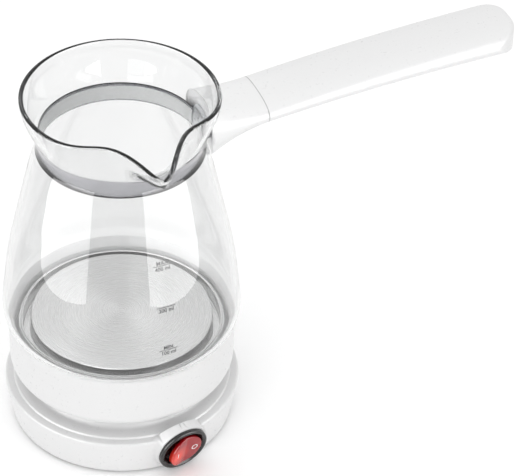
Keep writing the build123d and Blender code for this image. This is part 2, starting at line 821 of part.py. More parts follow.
def vessel_below_neck(inset):
    """Solid of revolution from the foot to the neck, drawn in by the wall."""
    foot_r = GLASS_FOOT_R - inset
    shoulder_z = COLLAR_TOP_Z - 3.6 + inset * 0.4
    belly_r = GLASS_FOOT_R + BELLY_OUT
    wall = [
        (NECK_R + (belly_r - NECK_R) * out, COLLAR_TOP_Z + GLASS_H * up_share)
        for up_share, out in WALL_SHAPE
    ]
    shoulder_top = (belly_r - 1.1 - inset * 0.92, COLLAR_TOP_Z - 0.3 + inset * 0.35)
    curve = Spline(
        (foot_r, shoulder_z),
        shoulder_top,
        *[(radius - inset, z) for radius, z in wall],
        (NECK_R - inset, NECK_Z),
    )
    sides = Polyline(
        (NECK_R - inset, NECK_Z),
        (0, NECK_Z),
        (0, trough_low_z),
        (foot_r, trough_low_z),
        (foot_r, shoulder_z),
    )
    return revolve(Plane.XZ * make_face([curve, sides]), Axis.Z)


def make_glass_body():
    slip = 0.15  # the upper part is a little thinner, which the band hides
    shares = (0, 0.14, 0.3, 0.49, 0.68, 0.84)
    heights = [NECK_Z, FLARE_Z + 0.4, *(SPOUT_Z + (RIM_Z - SPOUT_Z) * share for share in shares)]
    heights.append(RIM_Z + 1.5)
    outside = loft([lip_section(z, slip) for z in heights])
    inside = loft([lip_section(z, GLASS_T - slip) for z in heights])
    glass = vessel_below_neck(0) - vessel_below_neck(GLASS_T)
    glass += outside - inside
    # the rim is level, and dips towards the tip of the spout along an arc
    run = RIM_R + SPOUT_REACH - 1.0 - LIP_DIP_START
    dip_r = (run**2 + LIP_DIP**2) / (2 * LIP_DIP)
    dip = CenterArc((-LIP_DIP_START, RIM_Z - dip_r), dip_r, 90, 90)
    far_y = -LIP_DIP_START - dip_r
    reach = RIM_R + SPOUT_REACH
    above = Polyline(
        (far_y, RIM_Z - dip_r),
        (far_y, RIM_Z + 9),
        (reach, RIM_Z + 9),
        (reach, RIM_Z),
        (-LIP_DIP_START, RIM_Z),
    )
    glass -= extrude(Plane.YZ * make_face([dip, above]), reach, both=True)
    rim = glass.edges().filter_by(lambda edge: edge.bounding_box().min.Z > SPOUT_Z + 5)
    return fillet(rim, 0.5)


# ---------------------------------------------------------------- neck band
band_mid_r = BAND_R - BAND_T / 2


def band_half_path():
    """Middle of the strip, from the spout's far side round to the ear's end, at +Y."""
    centre_r = band_mid_r + EAR_BEND
    centre_y = EAR_Y + EAR_BEND
    centre_x = sqrt(centre_r**2 - centre_y**2)
    turn = degrees(atan2(centre_y, centre_x))
    ring = CenterArc((0, 0), band_mid_r, 180, turn - 180)
    root = CenterArc((centre_x, centre_y), EAR_BEND, 180 + turn, 90 - turn)
    ear = Line((centre_x, EAR_Y), (EAR_END_X, EAR_Y))
    return Wire([ring, root, ear])


def make_neck_band():
    height = BAND_HIGH_Z - BAND_LOW_Z
    mid_z = (BAND_HIGH_Z + BAND_LOW_Z) / 2
    start = Plane(origin=(-band_mid_r, 0, 0), x_dir=(1, 0, 0), z_dir=(0, 1, 0))
    strip = sweep(start * Rectangle(BAND_T, height), path=band_half_path())
    strip = Pos(0, 0, mid_z) * strip
    # the ears taper to the clamp inside the bracket
    below = Polyline(
        (BRACKET_FACE_R - 0.8, BAND_LOW_Z - 1),
        (BRACKET_FACE_R - 0.8, BAND_LOW_Z),
        (CLAMP_X - 6.0, EAR_LOW_Z),
        (EAR_END_X + 1, EAR_LOW_Z),
        (EAR_END_X + 1, BAND_LOW_Z - 1),
        close=True,
    )
    strip -= extrude(Plane.XZ * make_face(below), 30, both=True)
    band = strip + mirror(strip, Plane.XZ)
    return band - clamp_bore(M3_R + M3_PLAY)


def clamp_bore(radius):
    return Pos(CLAMP_X, 0, CLAMP_Z) * Rot(90, 0, 0) * Cylinder(radius, 2 * CLAMP_HALF + 4)


def make_neck_liner():
    outer_r = BAND_R - BAND_T - FIT
    liner = disc(outer_r, BAND_LOW_Z + 0.9, BAND_HIGH_Z - 1.2, outer_r - LINER_T)
    return liner - Pos(outer_r, 0, CLAMP_Z) * Box(20, 2 * EAR_Y - 2, 30)


def make_clamp_screw():
    screw = cross_screw(2 * CLAMP_HALF - 1.0)
    seat_y = -(EAR_Y + BAND_T / 2)
    return Pos(CLAMP_X, seat_y, CLAMP_Z) * Rot(-90, 0, 0) * screw


def make_clamp_nut():
    nut = extrude(RegularPolygon(NUT_HALF, 6, major_radius=False), NUT_H)
    nut -= Cylinder(M3_R + M3_PLAY, 10)
    seat_y = EAR_Y + BAND_T / 2
    return Pos(CLAMP_X, seat_y, CLAMP_Z) * Rot(-90, 0, 0) * nut


# ---------------------------------------------------------------- handle
def centre_height(x):
    """Height of the handle's centre line: a wide arc, straight inside the bracket."""
    run = x - PARTING_X
    return PARTING_Z + RISE * run - max(0.0, run) ** 2 / (2 * ARC_R)


def handle_measures(x):
    """Half width, crown height and belly depth of the handle at a distance from the pot's axis."""
    if x < PARTING_X:
        back = PARTING_X - x
        share = back / (PARTING_X - BRACKET_FACE_R)
        half = GRIP_HALF + (BRACKET_HALF - GRIP_HALF) * share
        return half, UP + back**2 / (2 * BRACKET_TOP_R), DOWN + back**2 / (2 * BRACKET_LOW_R)
    share = (x - PARTING_X) / GRIP_L
    half = GRIP_HALF + (GRIP_END_HALF - GRIP_HALF) * share
    return half, UP + (UP_END - UP) * share, DOWN + (DOWN_END - DOWN) * share


def belly_height(x):
    return centre_height(x) - handle_measures(x)[2]


def handle_section(x, inset=0.0):
    """Outline across the handle: a squarish oval, flatter above, and squarer towards the neck."""
    half, crown, belly = handle_measures(x)
    near_neck = max(0.0, (PARTING_X - x) / (PARTING_X - BRACKET_FACE_R))
    points = []
    for i in range(24):
        turn = radians(15 * i)
        power = CROWN_POWER if i < 12 else BELLY_POWER
        power += (NECK_POWER - power) * near_neck
        high = (crown if i < 12 else belly) - inset
        across = abs(cos(turn)) ** (2 / power) * (half - inset)
        along = abs(sin(turn)) ** (2 / power) * high
        points.append((copysign(across, cos(turn)), copysign(along, sin(turn))))
    plane = Plane(origin=(x, 0, centre_height(x)), x_dir=(0, 1, 0), z_dir=(1, 0, 0))
    return plane * make_face(Spline(*points, periodic=True))


def handle_run(start_x, end_x, steps, inset=0.0):
    """The handle's solid between two distances from the pot's axis."""
    places = [start_x + (end_x - start_x) * i / steps for i in range(steps + 1)]
    return loft([handle_section(x, inset) for x in places])


def tang_strap(play=0.0):
    """Side view of the strap, drawn along the grip's centre line."""
    start = EAR_END_X - 1.0
    run = TANG_END_X + play - start
    xs = [start + run * i / 4 for i in range(5)]
    rise = TANG_T / 2 + play
    top = Spline(*[(x, centre_height(x) - TANG_DROP + rise) for x in xs])
    bottom = Spline(*[(x, centre_height(x) - TANG_DROP - rise) for x in xs])
    face = make_face([top, bottom, Line(top @ 0, bottom @ 0), Line(top @ 1, bottom @ 1)])
    return extrude(Plane.XZ * face, TANG_W / 2 + play, both=True)


def tang_screw_places():
    """Each screw's distance from the axis, and the height of its head's seat."""
    return [(x, belly_height(x) + HEAD_SINK) for x in TANG_SCREW_XS]


def screw_pockets(places):
    """What the handle's screws take out of the plastic: shank holes, and pockets for the heads."""
    cuts = []
    for x, seat_z in places:
        seat = Pos(x, 0, seat_z)
        cuts.append(seat * Cylinder(M3_R + SLIP, TANG_T + UP, align=up))
        cuts.append(seat * Cylinder(SCREW_HEAD_R + HEAD_PLAY, DOWN_END, align=down))
    return cuts


def make_handle_bracket():
    start_x = BRACKET_FACE_R - 6.0
    body = handle_run(start_x, PARTING_X, 4)
    hollow = handle_run(start_x, PARTING_X - 2.0, 4, BRACKET_WALL)
    hollow -= Cylinder(BRACKET_FACE_R + BRACKET_WALL, 2 * RIM_Z)
    places = tang_screw_places()[:1]
    x, seat_z = places[0]
    boss_low = seat_z - HEAD_SINK + 1.0
    strap_low = centre_height(x) - TANG_DROP - TANG_T / 2
    boss = Pos(x, 0, boss_low) * Cylinder(3.9, strap_low - boss_low, align=up)
    body = body - hollow + (boss & body)
    body -= Cylinder(BRACKET_FACE_R, 2 * RIM_Z)
    body -= tang_strap(SLIP)
    for cut in screw_pockets(places):
        body -= cut
    # window in the front wall for the ears and the lug between them
    window_y = 2 * (EAR_Y + BAND_T / 2 + HEAD_PLAY)
    window_z = BAND_HIGH_Z - BAND_LOW_Z + 2 * LUG_STEP + 2 * HEAD_PLAY
    window = Box(3 * BRACKET_WALL, window_y, window_z)
    return body - Pos(BRACKET_FACE_R, 0, (BAND_LOW_Z + BAND_HIGH_Z) / 2) * window


def make_handle_grip():
    body = handle_run(PARTING_X, HANDLE_END_X + 3, 6)
    wide = 2 * GRIP_END_HALF
    taper_x = HANDLE_END_X - 2 * GRIP_END_ROUND
    plan = FilletPolyline(
        (PARTING_X, -wide),
        (PARTING_X, wide),
        (taper_x, wide),
        (taper_x, GRIP_END_HALF),
        (HANDLE_END_X, GRIP_END_HALF),
        (HANDLE_END_X, -GRIP_END_HALF),
        (taper_x, -GRIP_END_HALF),
        (taper_x, -wide),
        radius=[0, 0, 0, 0, GRIP_END_ROUND, GRIP_END_ROUND, 0, 0],
        close=True,
    )
    body &= extrude(make_face(plan), 2 * RIM_Z)
    end_edges = body.edges().filter_by(
        lambda edge: edge.center().X > HANDLE_END_X - GRIP_END_ROUND
        and edge.length > 3
        and edge.bounding_box().size.Z < 5
    )
    body = fillet(end_edges, GRIP_END_EDGE)
    body -= tang_strap(SLIP)
    for cut in screw_pockets(tang_screw_places()[1:]):
        body -= cut
    return body


def make_handle_tang():
    """Strap that stiffens the grip, with the lug that the band's ears are clamped on."""
    half = EAR_Y - BAND_T / 2
    lug = Pos(0, -half, 0) * extrude(Plane.XZ * make_face(lug_outline()), -2 * half)
    tang = lug + tang_strap() - clamp_bore(M3_R + M3_PLAY)
    for x, seat_z in tang_screw_places():
        tang -= Pos(x, 0, seat_z) * Cylinder(M3_R + M3_PLAY, 30)
    return tang


def lug_outline():
    """Side view of the lug: as tall as the band where it shows, then drawn in to the ears."""
    return Polyline(
        (BAND_R + GAP, BAND_LOW_Z - LUG_STEP),
        (BAND_R + GAP, BAND_HIGH_Z + LUG_STEP),
        (CLAMP_X - 6.0, BAND_HIGH_Z + LUG_STEP),
        (CLAMP_X - 5.0, BAND_HIGH_Z),
        (EAR_END_X, BAND_HIGH_Z),
        (EAR_END_X, EAR_LOW_Z),
        (CLAMP_X - 6.0, EAR_LOW_Z),
        (BRACKET_FACE_R + 0.8, BAND_LOW_Z - LUG_STEP),
        close=True,
    )


def make_handle_screws():
    screws = []
    for x, seat_z in tang_screw_places():
        top = centre_height(x) - TANG_DROP + TANG_T / 2
        screws.append(Pos(x, 0, seat_z) * cross_screw(top - seat_z))
    return group(screws)


# ---------------------------------------------------------------- leads inside the base
def make_base_leads():
    """Three leads: gland to switch, switch to connector, gland to connector."""
    gland_end = Rot(0, 0, GLAND_TURN) * Pos(gland_inner_r - 3.0, 0, GLAND_Z)
    start = gland_end.position
    blade_z = -BODY_DEPTH - TERMINAL_OUT - LEAD_R
    left = switch_plane.from_local_coords((terminal_xs[0], -BODY_DROP, blade_z))
    right = switch_plane.from_local_coords((terminal_xs[2], -BODY_DROP, blade_z))
    tail_low_z = slot_floor_z - TAIL_L
    ends = {}
    for name, radius in tail_r.items():
        spot = Rot(0, 0, tail_turn[name]) * Pos(radius, 0, tail_low_z - LEAD_R)
        ends[name] = spot.position
    routes = [
        [start + Vector(-2, 0, 0), Vector(-12, 28, 8), Vector(-24, 10, 7), Vector(-22, -14, 7)],
        [right, Vector(16, -20, 8), Vector(8, 2, 8), ends["live"]],
        [start + Vector(2, 0, 0), Vector(2, 26, 8), Vector(2, 4, 6.4), ends["neutral"]],
    ]
    routes[0] += [Vector(-8, -26, 9), left]
    leads = []
    for route in routes:
        path = FilletPolyline(*route, radius=4)
        plane = Plane(origin=path @ 0, z_dir=path % 0)
        leads.append(sweep(plane * Circle(LEAD_R), path=path))
    return group(leads)


parts = {
    "base_shell": make_base_shell,
    "base_cover": make_base_cover,
    "base_feet": make_base_feet,
    "base_screws": make_base_screws,
    "base_leads": make_base_leads,
    "switch_housing": make_switch_housing,
    "switch_terminals": make_switch_terminals,
    "switch_lamp": make_switch_lamp,
    "switch_rocker": make_switch_rocker,
    "connector_base": make_connector_base,
    "connector_contacts": make_connector_contacts,
    "connector_screws": make_connector_screws,
    "connector_ring": make_connector_ring,
    "cord_gland": make_cord_gland,
    "bottom_collar": make_bottom_collar,
    "steel_pan": make_steel_pan,
    "pan_studs": make_pan_studs,
    "pan_seal": make_pan_seal,
    "clamp_ring": make_clamp_ring,
    "clamp_pillars": make_clamp_pillars,
    "heat_spreader": make_heat_spreader,
    "heating_element": make_heating_element,
    "element_pins": make_element_pins,
    "element_links": make_element_links,
    "thermal_control": make_thermal_control,
    "bimetal_disc": make_bimetal_disc,
    "pot_socket": make_pot_socket,
    "socket_contacts": make_socket_contacts,
    "underside_cover": make_underside_cover,
    "cover_screws": make_cover_screws,
    "glass_body": make_glass_body,
    "neck_band": make_neck_band,
    "neck_liner": make_neck_liner,
    "clamp_screw": make_clamp_screw,
    "clamp_nut": make_clamp_nut,
    "handle_bracket": make_handle_bracket,
    "handle_tang": make_handle_tang,
    "handle_grip": make_handle_grip,
    "handle_screws": make_handle_screws,
}
os.makedirs("parts", exist_ok=True)
for node, make in parts.items():
    export_step(make(), f"parts/{node}.step")
    print(node)
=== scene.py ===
import math

import bmesh
import bpy
from mathutils import Matrix, Vector


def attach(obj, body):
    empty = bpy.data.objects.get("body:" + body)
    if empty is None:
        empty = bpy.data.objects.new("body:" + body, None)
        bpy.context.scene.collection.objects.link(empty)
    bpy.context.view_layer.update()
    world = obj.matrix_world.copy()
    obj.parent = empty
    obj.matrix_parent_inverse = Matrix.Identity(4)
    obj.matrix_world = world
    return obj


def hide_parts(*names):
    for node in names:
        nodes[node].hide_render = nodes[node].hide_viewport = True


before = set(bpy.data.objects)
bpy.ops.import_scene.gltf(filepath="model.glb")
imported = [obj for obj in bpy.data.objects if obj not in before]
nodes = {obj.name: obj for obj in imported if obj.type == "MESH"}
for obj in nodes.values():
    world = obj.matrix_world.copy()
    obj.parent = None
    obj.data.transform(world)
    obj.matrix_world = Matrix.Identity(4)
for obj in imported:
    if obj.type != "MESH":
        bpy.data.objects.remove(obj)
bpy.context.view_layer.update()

# ------------------------------------------------------------------ camera
# A long lens, 1.3 m from the pot, looks down on it a little from the spout's far side. It is
# turned by under two degrees, as a camera held by hand is, and aims beside the pot's axis.
CAMERA_TURN = math.radians(-23.0)
CAMERA_TILT = math.radians(38.09)
CAMERA_ROLL = math.radians(1.72)
CAMERA_DISTANCE = 1.3
AIM_HEIGHT = 0.0626
AIM_ASIDE = 0.0602
AIM_ABOVE = 0.0266

back = Vector(
    (
        math.sin(CAMERA_TURN) * math.cos(CAMERA_TILT),
        -math.cos(CAMERA_TURN) * math.cos(CAMERA_TILT),
        math.sin(CAMERA_TILT),
    )
)
right = Vector((math.cos(CAMERA_TURN), math.sin(CAMERA_TURN), 0.0))
above = back.cross(right)
aim = Vector((0, 0, AIM_HEIGHT)) + right * AIM_ASIDE + above * AIM_ABOVE
rolled_right = right * math.cos(CAMERA_ROLL) + above * math.sin(CAMERA_ROLL)
rolled_above = above * math.cos(CAMERA_ROLL) - right * math.sin(CAMERA_ROLL)

camera = bpy.data.objects.new("camera", bpy.data.cameras.new("camera"))
bpy.context.scene.collection.objects.link(camera)
camera.data.sensor_width = 36.0
camera.data.lens = 203.2
camera.data.clip_start = 0.05
camera.data.clip_end = 50.0
camera.matrix_world = Matrix(
    (
        (rolled_right.x, rolled_above.x, back.x, 0),
        (rolled_right.y, rolled_above.y, back.y, 0),
        (rolled_right.z, rolled_above.z, back.z, 0),
        (0, 0, 0, 1),
    )
)
camera.location = aim + back * CAMERA_DISTANCE
bpy.context.scene.camera = camera

# ------------------------------------------------------------------ studio
# White paper floor, an even white surround and three soft lights. Two plain soft boxes stand
# close in front, one to each side, and only put their shine on glass, steel and gloss.
FLOOR_SIZE = 6.0
PAPER = (0.96, 0.96, 0.96, 1)
SURROUND = (1, 1, 1, 1)
SURROUND_STRENGTH = 0.88
LIGHT_TARGET = Vector((0, 0, 0.08))
LIGHTS = (
    ("overhead_light", (-0.1, 0.3, 1.5), 1.6, 4.5),
    ("left_light", (-1.1, -1.1, 0.8), 1.0, 5.5),
    ("right_light", (0.8, -1.4, 0.8), 0.9, 3.0),
)
SOFT_BOX_DISTANCE = 0.30
SOFT_BOX_ASIDE = math.radians(57)
SOFT_BOX_WIDTH = 0.33
SOFT_BOX_HEIGHT = 0.40
SOFT_BOX_POWER = 1.8


def node_material(name):
    """A new material, with its node tree and its surface shader."""
    material = bpy.data.materials.new(name)
    material.use_nodes = True
    tree = material.node_tree
    return material, tree, tree.nodes["Principled BSDF"]


def mesh_piece(name, shape, material, sharp_above=40.0):
    """A linked object from a bmesh, with one material, smooth but for its sharp edges."""
    mesh = bpy.data.meshes.new(name)
    shape.to_mesh(mesh)
    shape.free()
    mesh.shade_smooth()
    mesh.set_sharp_from_angle(angle=math.radians(sharp_above))
    mesh.materials.append(material)
    piece = bpy.data.objects.new(name, mesh)
    bpy.context.scene.collection.objects.link(piece)
    return piece


def area_light(name, place, width, height, power, away):
    """A linked area light of a size and power, with its back turned to a direction."""
    lamp = bpy.data.lights.new(name, "AREA")
    lamp.shape = "RECTANGLE"
    lamp.size = width
    lamp.size_y = height
    lamp.energy = power
    light = bpy.data.objects.new(name, lamp)
    light.location = place
    light.rotation_euler = away.to_track_quat("Z", "Y").to_euler()
    bpy.context.scene.collection.objects.link(light)
    return light


paper, paper_tree, paper_shader = node_material("floor_paper")
paper_shader.inputs["Base Color"].default_value = PAPER
paper_shader.inputs["Roughness"].default_value = 0.9
paper_shader.inputs["Specular IOR Level"].default_value = 0.1
floor_shape = bmesh.new()
bmesh.ops.create_grid(floor_shape, x_segments=8, y_segments=8, size=FLOOR_SIZE / 2)
floor = mesh_piece("floor", floor_shape, paper)

world = bpy.data.worlds.new("studio")
bpy.context.scene.world = world
world.use_nodes = True
background = world.node_tree.nodes["Background"]
background.inputs["Color"].default_value = SURROUND
background.inputs["Strength"].default_value = SURROUND_STRENGTH
bpy.context.scene.view_settings.view_transform = "Standard"

for name, place, size, power in LIGHTS:
    light = area_light(name, place, size, size, power, Vector(place) - LIGHT_TARGET)
    light.visible_glossy = False
for side in (-1, 1):
    bearing = CAMERA_TURN - math.pi / 2 + side * SOFT_BOX_ASIDE
    outward = Vector((math.cos(bearing), math.sin(bearing), 0))
    place = outward * SOFT_BOX_DISTANCE + Vector((0, 0, SOFT_BOX_HEIGHT / 2))
    box = area_light("soft_box", place, SOFT_BOX_WIDTH, SOFT_BOX_HEIGHT, SOFT_BOX_POWER, outward)
    box.visible_diffuse = False
    box.visible_transmission = False
    box.visible_camera = False

# ------------------------------------------------------------------ base mouldings
# The base's shell and floor plate are moulded in white ABS, satin, with the faintest ripple, so
# every edge is soft and nothing is quite flat. Collar, bracket and grip are of the same plastic.
WHITE = (0.735, 0.735, 0.735)
WHITE_DEEP = (0.728, 0.728, 0.73)
BUMP_DEPTH = 0.0001
NOISE_DETAIL = 3.0
NOISE_LOW, NOISE_HIGH = 0.3, 0.7
WELD = 2e-6


def fine_bump(tree, shader, scale, strength):
    """An even ripple or grain on the surface, from noise at a scale in cycles a metre."""
    place = tree.nodes.new("ShaderNodeTexCoord")
    noise = tree.nodes.new("ShaderNodeTexNoise")
    noise.inputs["Scale"].default_value = scale
    noise.inputs["Detail"].default_value = NOISE_DETAIL
    bump = tree.nodes.new("ShaderNodeBump")
    bump.inputs["Strength"].default_value = strength
    bump.inputs["Distance"].default_value = BUMP_DEPTH
    tree.links.new(place.outputs["Object"], noise.inputs["Vector"])
    tree.links.new(noise.outputs["Fac"], bump.inputs["Height"])
    tree.links.new(bump.outputs["Normal"], shader.inputs["Normal"])
    return noise


def roughness_from(tree, shader, noise, low, high):
    """Roughness that wanders between two values with the given noise."""
    spread = tree.nodes.new("ShaderNodeMapRange")
    spread.inputs["From Min"].default_value = NOISE_LOW
    spread.inputs["From Max"].default_value = NOISE_HIGH
    spread.inputs["To Min"].default_value = low
    spread.inputs["To Max"].default_value = high
    tree.links.new(noise.outputs["Fac"], spread.inputs["Value"])
    tree.links.new(spread.outputs["Result"], shader.inputs["Roughness"])


def tone_from(tree, shader, noise, tones):
    """Base colour that drifts between two tones with the given noise."""
    ramp = tree.nodes.new("ShaderNodeValToRGB")
    for stop, place, tone in zip(ramp.color_ramp.elements, (NOISE_LOW, NOISE_HIGH), tones):
        stop.position = place
        stop.color = (*tone, 1)
    tree.links.new(noise.outputs["Fac"], ramp.inputs["Fac"])
    tree.links.new(ramp.outputs["Color"], shader.inputs["Base Color"])


def finish(name, tones, rough, scale, bump, metal=0.0, **sockets):
    """A material with drifting tone and roughness, a fine surface and any fixed shader values."""
    material, tree, shader = node_material(name)
    noise = fine_bump(tree, shader, scale, bump)
    roughness_from(tree, shader, noise, *rough)
    tone_from(tree, shader, noise, tones)
    shader.inputs["Metallic"].default_value = metal
    for socket, value in sockets.items():
        shader.inputs[socket.replace("_", " ")].default_value = value
    return material


def smooth_skin(node, material, body, sharp_above=32.0):
    """A welded, smoothly shaded copy of a node, which stands for it."""
    shape = bmesh.new()
    shape.from_mesh(nodes[node].data)
    bmesh.ops.remove_doubles(shape, verts=shape.verts[:], dist=WELD)
    piece = mesh_piece(node + "_skin", shape, material, sharp_above=sharp_above)
    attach(piece, body)
    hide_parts(node)


white = finish("white_moulding", (WHITE_DEEP, WHITE), (0.27, 0.33), 700.0, 0.004, IOR=1.5)
for node in ("base_shell", "base_cover"):
    smooth_skin(node, white, "base")

# ------------------------------------------------------------------ feet and floor screws
# Five rubber pads are pressed into the floor plate, with the dull bloom and fine grain of
# moulded rubber. Zinc-plated cross-head screws hold the plate.
RUBBER_TONES = ((0.016,) * 3, (0.03,) * 3)
rubber = finish("foot_rubber", RUBBER_TONES, (0.62, 0.8), 2600.0, 0.5)
smooth_skin("base_feet", rubber, "base")
ZINC_TONES = ((0.66, 0.67, 0.69), (0.78, 0.79, 0.80))
zinc = finish("zinc_plate", ZINC_TONES, (0.25, 0.45), 700.0, 0.12, metal=1.0)
for node in ("base_screws", "connector_screws"):
    smooth_skin(node, zinc, "base")

# ------------------------------------------------------------------ leads and cord gland
# Heat-proof sleeved leads join gland, switch and connector. The gland is a soft rubber grommet
# in the back of the shell, with an open bore for the cord.
SLEEVE_TONES = ((0.055, 0.032, 0.02), (0.085, 0.05, 0.032))
sleeve = finish("lead_sleeve", SLEEVE_TONES, (0.4, 0.5), 1500.0, 0.15)
smooth_skin("base_leads", sleeve, "base")
smooth_skin("cord_gland", rubber, "base")

# ------------------------------------------------------------------ rocker switch
# A round snap-in rocker: a glossy black nylon bezel and well, brass blades behind, and a clear
# red rocker lit by a small glow lamp, with its two symbols printed white. A brighter red patch on
# the rocker's raised left half, and the rocker's faint emission, are painted highlight and glow.
NYLON_TONES = ((0.012,) * 3, (0.02,) * 3)
nylon = finish("bezel_nylon", NYLON_TONES, (0.16, 0.24), 1800.0, 0.1, IOR=1.53)
smooth_skin("switch_housing", nylon, "base")
BRASS_TONES = ((0.62, 0.42, 0.15), (0.78, 0.56, 0.24))
brass = finish("contact_brass", BRASS_TONES, (0.2, 0.34), 900.0, 0.08, metal=1.0)
smooth_skin("switch_terminals", brass, "base")
LAMP_TONES = ((0.9, 0.45, 0.25), (1.0, 0.6, 0.35))
lamp_glass = finish(
    "glow_lamp",
    LAMP_TONES,
    (0.05, 0.1),
    600.0,
    0.05,
    Emission_Color=(1.0, 0.32, 0.12, 1),
    Emission_Strength=0.5,
)
smooth_skin("switch_lamp", lamp_glass, "base")

SWITCH_CENTRE = Vector((0.009603, -0.05446, 0.0119))
SWITCH_TURN = math.radians(-80.0)
SWITCH_TILT = math.radians(12.5)
PIVOT_DEPTH = 0.0024
ROCKER_TIP = math.radians(10.0)
ROCKER_HALF = 0.0084
ROCKER_FALL = 0.0014
ROCKER_SLOPE = math.atan2(ROCKER_FALL, ROCKER_HALF)
switch_out = Vector(
    (
        math.cos(SWITCH_TURN) * math.cos(SWITCH_TILT),
        math.sin(SWITCH_TURN) * math.cos(SWITCH_TILT),
        -math.sin(SWITCH_TILT),
    )
)
switch_side = Vector((-math.sin(SWITCH_TURN), math.cos(SWITCH_TURN), 0))
switch_up = switch_out.cross(switch_side)
switch_frame = Matrix((switch_side, switch_up, switch_out)).transposed().to_4x4()
switch_frame.translation = SWITCH_CENTRE
rocker_frame = (
    switch_frame
    @ Matrix.Translation((0, 0, -PIVOT_DEPTH))
    @ Matrix.Rotation(ROCKER_TIP, 4, "Y")
    @ Matrix.Translation((0, 0, PIVOT_DEPTH))
)

# Painted highlight and glow: the rocker's red brightens in a round patch on its raised left half.
PAINTED_GLOW_CENTRE = Vector((-0.0052, -0.001, 0.001))
PAINTED_GLOW_REACH = 0.0075
RED_DEEP = (0.30, 0.003, 0.006, 1)
RED_PAINTED_GLOW = (0.95, 0.06, 0.03, 1)
red, red_tree, red_shader = node_material("red_translucent")
red_noise = fine_bump(red_tree, red_shader, 700.0, 0.05)
roughness_from(red_tree, red_shader, red_noise, 0.1, 0.18)
red_place = red_tree.nodes.new("ShaderNodeTexCoord")
painted_glow_mapping = red_tree.nodes.new("ShaderNodeMapping")
painted_glow_mapping.vector_type = "TEXTURE"
painted_glow_mapping.inputs["Location"].default_value = rocker_frame @ PAINTED_GLOW_CENTRE
painted_glow_mapping.inputs["Scale"].default_value = (PAINTED_GLOW_REACH,) * 3
painted_glow_spot = red_tree.nodes.new("ShaderNodeTexGradient")
painted_glow_spot.gradient_type = "SPHERICAL"
red_ramp = red_tree.nodes.new("ShaderNodeValToRGB")
red_ramp.color_ramp.elements[0].color = RED_DEEP
red_ramp.color_ramp.elements[1].color = RED_PAINTED_GLOW
red_tree.links.new(red_place.outputs["Object"], painted_glow_mapping.inputs["Vector"])
red_tree.links.new(painted_glow_mapping.outputs["Vector"], painted_glow_spot.inputs["Vector"])
red_tree.links.new(painted_glow_spot.outputs["Fac"], red_ramp.inputs["Fac"])
red_tree.links.new(red_ramp.outputs["Color"], red_shader.inputs["Base Color"])
# The same painted colour also feeds a faint emission, a painted glow.
red_tree.links.new(red_ramp.outputs["Color"], red_shader.inputs["Emission Color"])
red_shader.inputs["Emission Strength"].default_value = 0.04
red_shader.inputs["Coat Weight"].default_value = 0.15
red_shader.inputs["Coat Roughness"].default_value = 0.06
smooth_skin("switch_rocker", red, "switch", sharp_above=26.0)

SYMBOL_TONES = ((0.8,) * 3, (0.9,) * 3)
SYMBOL_THICKNESS = 0.00012
SYMBOL_OUT = 0.0047
ROCKER_VALLEY = 0.0003
SYMBOL_RISE = ROCKER_VALLEY + ROCKER_FALL * SYMBOL_OUT / ROCKER_HALF
RING_RADII = (0.00115, 0.00155)
BAR_HALF_LENGTH = 0.0014
BAR_SLIMNESS = 0.15
print_white = finish("symbol_print", SYMBOL_TONES, (0.4, 0.5), 2500.0, 0.1)
off_ring = bmesh.new()
for radius in RING_RADII:
    bmesh.ops.create_circle(off_ring, segments=40, radius=radius)
bmesh.ops.bridge_loops(off_ring, edges=off_ring.edges[:])
on_bar = bmesh.new()
bmesh.ops.create_grid(on_bar, x_segments=1, y_segments=4, size=BAR_HALF_LENGTH)
bmesh.ops.scale(on_bar, verts=on_bar.verts[:], vec=(BAR_SLIMNESS, 1, 1))
for name, shape, side in (("symbol_off", off_ring, 1), ("symbol_on", on_bar, -1)):
    bmesh.ops.recalc_face_normals(shape, faces=shape.faces[:])
    bmesh.ops.solidify(shape, geom=shape.faces[:], thickness=SYMBOL_THICKNESS)
    bmesh.ops.recalc_face_normals(shape, faces=shape.faces[:])
    seat = rocker_frame @ Matrix.Translation((side * SYMBOL_OUT, 0, SYMBOL_RISE))
    seat = seat @ Matrix.Rotation(-side * ROCKER_SLOPE, 4, "Y")
    bmesh.ops.transform(shape, matrix=seat, verts=shape.verts[:])
    symbol = mesh_piece(name, shape, print_white)
    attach(symbol, "switch")

# ------------------------------------------------------------------ connectors
# The round cordless connector stands in the middle of the base, in matt heat-proof black, with
# ring slots over brass contacts. A loose ring turns round its foot with the pot.
PHENOLIC_TONES = ((0.022, 0.022, 0.023), (0.035, 0.035, 0.036))
phenolic = finish("heatproof_black", PHENOLIC_TONES, (0.42, 0.58), 1600.0, 0.25)
smooth_skin("connector_base", phenolic, "base")
smooth_skin("connector_contacts", brass, "base")
smooth_skin("connector_ring", phenolic, "swivel")

# ------------------------------------------------------------------ foot of the pot
# The collar is the same white moulding as the base. Under it, a dark heat-proof plate and the
# upper connector close the pot, held by three screws in hexagonal zinc pillars.
smooth_skin("bottom_collar", white, "pot")
for node in ("underside_cover", "pot_socket", "thermal_control"):
    smooth_skin(node, phenolic, "pot")
smooth_skin("socket_contacts", brass, "pot")
smooth_skin("element_links", brass, "pot")
for node in ("cover_screws", "pan_studs", "clamp_pillars", "clamp_ring", "element_pins"):
    smooth_skin(node, zinc, "pot")

# ------------------------------------------------------------------ heater
# An aluminium spreader is cast round a sheathed ring element, under the pan. A dished bimetal
# disc below it cuts the current when the pan boils dry.
CAST_TONES = ((0.48, 0.48, 0.49), (0.66, 0.66, 0.67))
cast = finish("cast_aluminium", CAST_TONES, (0.4, 0.6), 450.0, 0.5, metal=1.0)
smooth_skin("heat_spreader", cast, "pot")
smooth_skin("heating_element", cast, "pot")
DISC_TONES = ((0.50, 0.46, 0.40), (0.62, 0.57, 0.50))
bimetal = finish("bimetal_strip", DISC_TONES, (0.25, 0.35), 300.0, 0.1, metal=1.0)
smooth_skin("bimetal_disc", bimetal, "pot")

